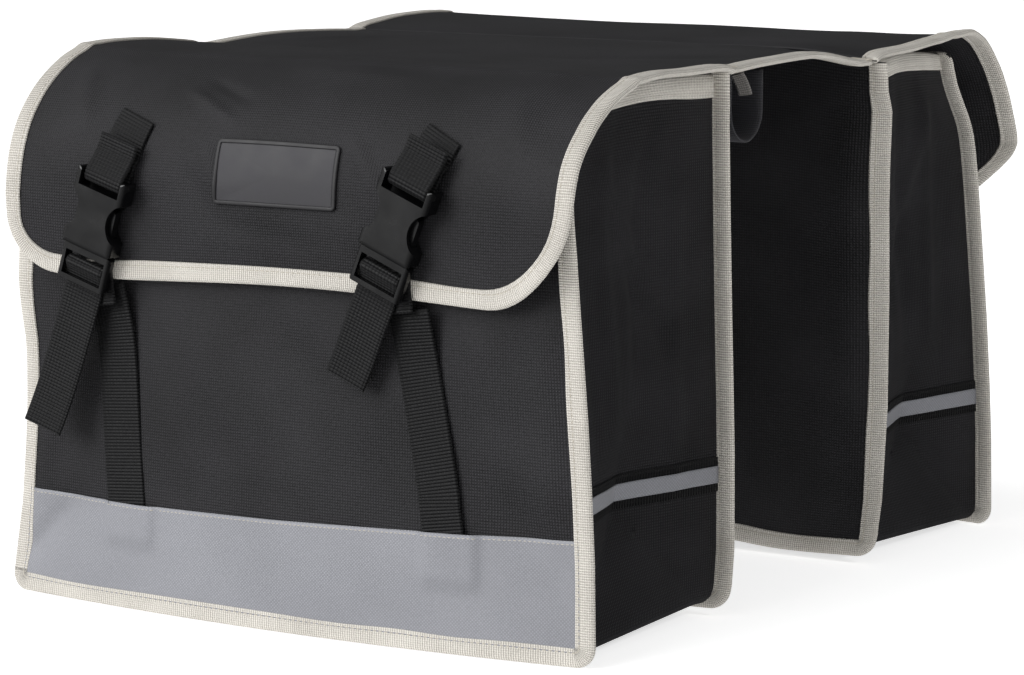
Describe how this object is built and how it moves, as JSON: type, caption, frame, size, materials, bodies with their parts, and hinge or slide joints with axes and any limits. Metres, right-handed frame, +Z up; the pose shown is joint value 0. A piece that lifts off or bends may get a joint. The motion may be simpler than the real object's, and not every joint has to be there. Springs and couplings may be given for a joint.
{
  "type": "pannier bag",
  "caption": "Double pannier bag: upright cloth bags joined by a saddle panel, with buckled flaps and reflective bands, for a bicycle's rear rack.",
  "frame": {"origin": "on the floor, midway between the two bags and midway along them", "axes": "+X along the bicycle towards its rear, +Y towards the bicycle's right bag, +Z up"},
  "size_m": [0.354, 0.491, 0.2918],
  "materials": {
    "bag_fabric": "matt woven polyester with a fine twill, black",
    "binding_tape": "matt ribbed grosgrain tape, off-white",
    "webbing": "matt ribbed polypropylene webbing, black",
    "reflective_fabric": "grey retro-reflective twill, slightly silvery",
    "buckle_plastic": "moulded acetal, satin black",
    "label_patch": "soft moulded patch with a raised border, no mark, dark grey",
    "stiffener_board": "plain hollow-core board, hidden inside"
  },
  "bodies": {
    "bridge": {"bridge_panel": "bag_fabric", "bridge_bindings": "binding_tape", "rack_loops": "webbing"},
    "left_bag": {"left_inner_panel": "bag_fabric", "left_inner_binding": "binding_tape", "left_inner_board": "stiffener_board", "left_outer_panel": "bag_fabric", "left_outer_binding": "binding_tape", "left_gusset": "bag_fabric", "left_rim_bindings": "binding_tape", "left_reflective_band": "reflective_fabric", "left_side_strips": "reflective_fabric", "left_front_base_strap": "webbing", "left_rear_base_strap": "webbing"},
    "left_flap": {"left_flap": "bag_fabric", "left_flap_binding": "binding_tape", "left_label_patch": "label_patch", "left_front_flap_strap": "webbing", "left_rear_flap_strap": "webbing"},
    "left_front_socket": {"left_front_socket": "buckle_plastic"},
    "left_front_plug": {"left_front_plug": "buckle_plastic", "left_front_strap_loop": "webbing"},
    "left_front_arm_a": {"left_front_arm_a": "buckle_plastic"},
    "left_front_arm_b": {"left_front_arm_b": "buckle_plastic"},
    "left_front_tail": {"left_front_tail": "webbing"},
    "left_rear_socket": {"left_rear_socket": "buckle_plastic"},
    "left_rear_plug": {"left_rear_plug": "buckle_plastic", "left_rear_strap_loop": "webbing"},
    "left_rear_arm_a": {"left_rear_arm_a": "buckle_plastic"},
    "left_rear_arm_b": {"left_rear_arm_b": "buckle_plastic"},
    "left_rear_tail": {"left_rear_tail": "webbing"},
    "right_bag": {"right_inner_panel": "bag_fabric", "right_inner_binding": "binding_tape", "right_inner_board": "stiffener_board", "right_outer_panel": "bag_fabric", "right_outer_binding": "binding_tape", "right_gusset": "bag_fabric", "right_rim_bindings": "binding_tape", "right_reflective_band": "reflective_fabric", "right_side_strips": "reflective_fabric", "right_front_base_strap": "webbing", "right_rear_base_strap": "webbing"},
    "right_flap": {"right_flap": "bag_fabric", "right_flap_binding": "binding_tape", "right_label_patch": "label_patch", "right_front_flap_strap": "webbing", "right_rear_flap_strap": "webbing"},
    "right_front_socket": {"right_front_socket": "buckle_plastic"},
    "right_front_plug": {"right_front_plug": "buckle_plastic", "right_front_strap_loop": "webbing"},
    "right_front_arm_a": {"right_front_arm_a": "buckle_plastic"},
    "right_front_arm_b": {"right_front_arm_b": "buckle_plastic"},
    "right_front_tail": {"right_front_tail": "webbing"},
    "right_rear_socket": {"right_rear_socket": "buckle_plastic"},
    "right_rear_plug": {"right_rear_plug": "buckle_plastic", "right_rear_strap_loop": "webbing"},
    "right_rear_arm_a": {"right_rear_arm_a": "buckle_plastic"},
    "right_rear_arm_b": {"right_rear_arm_b": "buckle_plastic"},
    "right_rear_tail": {"right_rear_tail": "webbing"}
  },
  "joints": [
    {"name": "left_bag_swing", "type": "hinge", "parent": "bridge", "child": "left_bag", "pos_m": [0, -0.08, 0.287], "axis": [1, 0, 0], "range_deg": [-90, 8]},
    {"name": "left_flap_hinge", "type": "hinge", "parent": "left_bag", "child": "left_flap", "pos_m": [0, -0.0805, 0.288], "axis": [-1, 0, 0], "range_deg": [0, 105]},
    {"name": "left_front_socket_swing", "type": "hinge", "parent": "left_flap", "child": "left_front_socket", "pos_m": [-0.10731, -0.24025, 0.228], "axis": [-0.9563, 0, 0.2924], "range_deg": [0, 45]},
    {"name": "left_front_plug_slide", "type": "slide", "parent": "left_front_socket", "child": "left_front_plug", "axis": [-0.2924, 0, -0.9563], "range_m": [0, 0.03]},
    {"name": "left_front_arm_a_squeeze", "type": "hinge", "parent": "left_front_plug", "child": "left_front_arm_a", "pos_m": [-0.12926, -0.24025, 0.19487], "axis": [0, 1, 0], "range_deg": [0, 5], "stiffness_Nm_per_rad": 0.05},
    {"name": "left_front_arm_b_squeeze", "type": "hinge", "parent": "left_front_plug", "child": "left_front_arm_b", "pos_m": [-0.10765, -0.24025, 0.18826], "axis": [0, -1, 0], "range_deg": [0, 5], "stiffness_Nm_per_rad": 0.05},
    {"name": "left_front_tail_swing", "type": "hinge", "parent": "left_front_plug", "child": "left_front_tail", "pos_m": [-0.1245, -0.23775, 0.17177], "axis": [-0.9563, 0, 0.2924], "range_deg": [0, 60]},
    {"name": "left_rear_socket_swing", "type": "hinge", "parent": "left_flap", "child": "left_rear_socket", "pos_m": [0.08428, -0.24025, 0.236], "axis": [-0.9272, 0, 0.3746], "range_deg": [0, 45]},
    {"name": "left_rear_plug_slide", "type": "slide", "parent": "left_rear_socket", "child": "left_rear_plug", "axis": [-0.3746, 0, -0.9272], "range_m": [0, 0.03]},
    {"name": "left_rear_arm_a_squeeze", "type": "hinge", "parent": "left_rear_plug", "child": "left_rear_arm_a", "pos_m": [0.05953, -0.24025, 0.20491], "axis": [0, 1, 0], "range_deg": [0, 5], "stiffness_Nm_per_rad": 0.05},
    {"name": "left_rear_arm_b_squeeze", "type": "hinge", "parent": "left_rear_plug", "child": "left_rear_arm_b", "pos_m": [0.08049, -0.24025, 0.19644], "axis": [0, -1, 0], "range_deg": [0, 5], "stiffness_Nm_per_rad": 0.05},
    {"name": "left_rear_tail_swing", "type": "hinge", "parent": "left_rear_plug", "child": "left_rear_tail", "pos_m": [0.06226, -0.23775, 0.18148], "axis": [-0.9272, 0, 0.3746], "range_deg": [0, 60]},
    {"name": "right_bag_swing", "type": "hinge", "parent": "bridge", "child": "right_bag", "pos_m": [0, 0.08, 0.287], "axis": [-1, 0, 0], "range_deg": [-90, 8]},
    {"name": "right_flap_hinge", "type": "hinge", "parent": "right_bag", "child": "right_flap", "pos_m": [0, 0.0805, 0.288], "axis": [1, 0, 0], "range_deg": [0, 105]},
    {"name": "right_front_socket_swing", "type": "hinge", "parent": "right_flap", "child": "right_front_socket", "pos_m": [-0.10731, 0.24025, 0.228], "axis": [0.9563, 0, -0.2924], "range_deg": [0, 45]},
    {"name": "right_front_plug_slide", "type": "slide", "parent": "right_front_socket", "child": "right_front_plug", "axis": [-0.2924, 0, -0.9563], "range_m": [0, 0.03]},
    {"name": "right_front_arm_a_squeeze", "type": "hinge", "parent": "right_front_plug", "child": "right_front_arm_a", "pos_m": [-0.12926, 0.24025, 0.19487], "axis": [0, 1, 0], "range_deg": [0, 5], "stiffness_Nm_per_rad": 0.05},
    {"name": "right_front_arm_b_squeeze", "type": "hinge", "parent": "right_front_plug", "child": "right_front_arm_b", "pos_m": [-0.10765, 0.24025, 0.18826], "axis": [0, -1, 0], "range_deg": [0, 5], "stiffness_Nm_per_rad": 0.05},
    {"name": "right_front_tail_swing", "type": "hinge", "parent": "right_front_plug", "child": "right_front_tail", "pos_m": [-0.1245, 0.23775, 0.17177], "axis": [0.9563, 0, -0.2924], "range_deg": [0, 60]},
    {"name": "right_rear_socket_swing", "type": "hinge", "parent": "right_flap", "child": "right_rear_socket", "pos_m": [0.08428, 0.24025, 0.236], "axis": [0.9272, 0, -0.3746], "range_deg": [0, 45]},
    {"name": "right_rear_plug_slide", "type": "slide", "parent": "right_rear_socket", "child": "right_rear_plug", "axis": [-0.3746, 0, -0.9272], "range_m": [0, 0.03]},
    {"name": "right_rear_arm_a_squeeze", "type": "hinge", "parent": "right_rear_plug", "child": "right_rear_arm_a", "pos_m": [0.05953, 0.24025, 0.20491], "axis": [0, 1, 0], "range_deg": [0, 5], "stiffness_Nm_per_rad": 0.05},
    {"name": "right_rear_arm_b_squeeze", "type": "hinge", "parent": "right_rear_plug", "child": "right_rear_arm_b", "pos_m": [0.08049, 0.24025, 0.19644], "axis": [0, -1, 0], "range_deg": [0, 5], "stiffness_Nm_per_rad": 0.05},
    {"name": "right_rear_tail_swing", "type": "hinge", "parent": "right_rear_plug", "child": "right_rear_tail", "pos_m": [0.06226, 0.23775, 0.18148], "axis": [0.9272, 0, -0.3746], "range_deg": [0, 60]}
  ],
  "couplings": [
    {"joint": "left_front_arm_b_squeeze", "follows": "left_front_arm_a_squeeze", "ratio": 1},
    {"joint": "left_rear_arm_b_squeeze", "follows": "left_rear_arm_a_squeeze", "ratio": 1},
    {"joint": "right_front_arm_b_squeeze", "follows": "right_front_arm_a_squeeze", "ratio": 1},
    {"joint": "right_rear_arm_b_squeeze", "follows": "right_rear_arm_a_squeeze", "ratio": 1}
  ]
}
